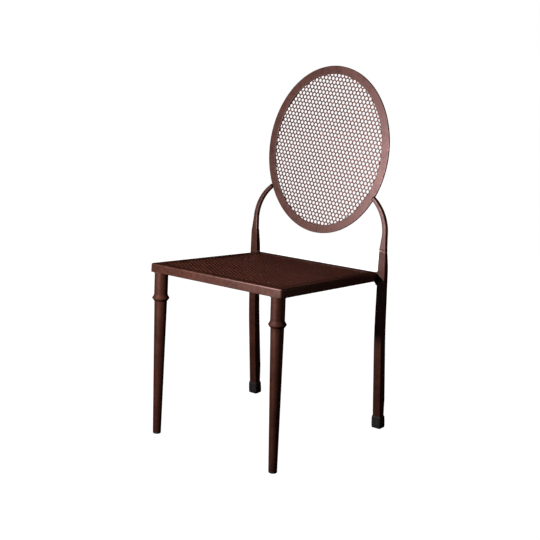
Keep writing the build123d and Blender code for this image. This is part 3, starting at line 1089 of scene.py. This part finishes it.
def add_floor(scene):
    reach = 40.0  # metres; past it the sky goes on in the same colour
    corners = [(-reach, -reach, 0), (reach, -reach, 0), (reach, reach, 0), (-reach, reach, 0)]
    mesh = bpy.data.meshes.new("pale_floor")
    mesh.from_pydata(corners, [], [(0, 1, 2, 3)])
    floor = new_object("pale_floor", mesh)
    finish = bpy.data.materials.new("pale_floor")
    finish.use_nodes = True
    tree = finish.node_tree
    grey, pale = (0.15, 0.15, 0.15, 1), (*colours().floor, 1)
    values = {"Base Color": grey, "Roughness": 0.9, "Emission Color": pale, "Emission Strength": 1.0}
    feed(tree, tree.nodes["Principled BSDF"], values, {})
    mesh.materials.append(finish)
    # The floor and the sky show pale to the camera and throw no light on the dark paint
    floor.visible_diffuse = False
    floor.visible_glossy = False
    sky = bpy.data.worlds.new("pale_sky")
    sky.use_nodes = True
    sky.node_tree.nodes["Background"].inputs["Color"].default_value = pale
    sky.cycles_visibility.diffuse = False
    sky.cycles_visibility.glossy = False
    scene.world = sky


def add_light(name, power, place, target, width, spread=180):
    """A round light turned to a target, with its width in metres and its spread in degrees."""
    place = Vector(place)
    lamp = bpy.data.lights.new(name, "AREA")
    lamp.shape = "DISK"
    lamp.size = width
    lamp.energy = power
    lamp.spread = radians(spread)
    light = new_object(name, lamp)
    light.location = place
    light.rotation_euler = (Vector(target) - place).to_track_quat("-Z", "Y").to_euler()
    return light


def add_camera(scene, stage):
    lens = bpy.data.cameras.new("camera")
    lens.lens = stage.lens
    lens.shift_x, lens.shift_y = stage.shift
    camera = new_object("camera", lens)
    camera.matrix_world = (
        Matrix.Translation(stage.camera_place)
        @ Matrix.Rotation(stage.camera_azimuth, 4, "Z")
        @ Matrix.Rotation(pi / 2 - stage.camera_dip, 4, "X")
        @ Matrix.Rotation(stage.camera_roll, 4, "Z")
    )
    scene.camera = camera


class CHAIR_OT_stage(bpy.types.Operator):
    """Sets the pale floor, the lights and the camera"""

    bl_idname = "chair.stage"
    bl_label = "Stage"

    def execute(self, context):
        scene = context.scene
        stage = scene.chair_stage
        scene.view_settings.view_transform = "Standard"
        add_floor(scene)
        add_light("key_light", stage.key_power, (-0.236, -1.246, 0.855), (0.08, 0, 0.87), 0.09, 148)
        back_light = add_light("back_light", stage.back_power, (-1.1, 2.6, 0.6), (0, 0, 0.6), 1.2)
        back_light.visible_glossy = False  # or it would shine along the seat into the camera
        fill_light = add_light("fill_light", stage.fill_power, (2.28, 0.99, 0.74), (0, 0, 0.45), 1.25)
        fill_light.data.color = colours().fill_light
        add_light("low_light", stage.low_power, (-0.2, -2.4, 0.3), (0, 0, 0.3), 1.2)
        add_camera(scene, stage)
        return {"FINISHED"}


OPERATORS = (
    CHAIR_OT_seat_rails,
    CHAIR_OT_seat_sheet,
    CHAIR_OT_front_legs,
    CHAIR_OT_rear_legs,
    CHAIR_OT_stiles,
    CHAIR_OT_oval_rim,
    CHAIR_OT_back_sheet,
    CHAIR_OT_stage,
)


class CHAIR_PT_pieces(bpy.types.Panel):
    """Lists the chair's pieces, sizes and colours"""

    bl_label = "Iron chair"
    bl_space_type = "VIEW_3D"
    bl_region_type = "UI"
    bl_category = "Iron chair"

    def draw(self, context):
        for operator in OPERATORS:
            self.layout.operator(operator.bl_idname)
        for name, group in GROUPS:
            box = self.layout.box()
            for field in group.__annotations__:
                box.prop(getattr(context.scene, name), field)


GROUPS = (
    ("chair_sheet", SheetSizes),
    ("chair_bars", BarSizes),
    ("chair_welds", WeldSizes),
    ("chair_colours", PaintColours),
    ("chair_stage", StageSettings),
)


def register():
    for name, group in GROUPS:
        bpy.utils.register_class(group)
        setattr(bpy.types.Scene, name, PointerProperty(type=group))
    for operator in OPERATORS:
        bpy.utils.register_class(operator)
    bpy.utils.register_class(CHAIR_PT_pieces)


def unregister():
    bpy.utils.unregister_class(CHAIR_PT_pieces)
    for operator in reversed(OPERATORS):
        bpy.utils.unregister_class(operator)
    for name, group in reversed(GROUPS):
        delattr(bpy.types.Scene, name)
        bpy.utils.unregister_class(group)


def main():
    register()
    bpy.ops.chair.stage()
    bpy.ops.chair.seat_rails()
    bpy.ops.chair.seat_sheet()
    bpy.ops.chair.front_legs()
    bpy.ops.chair.rear_legs()
    bpy.ops.chair.stiles()
    bpy.ops.chair.oval_rim()
    bpy.ops.chair.back_sheet()


if __name__ == "__main__":
    main()
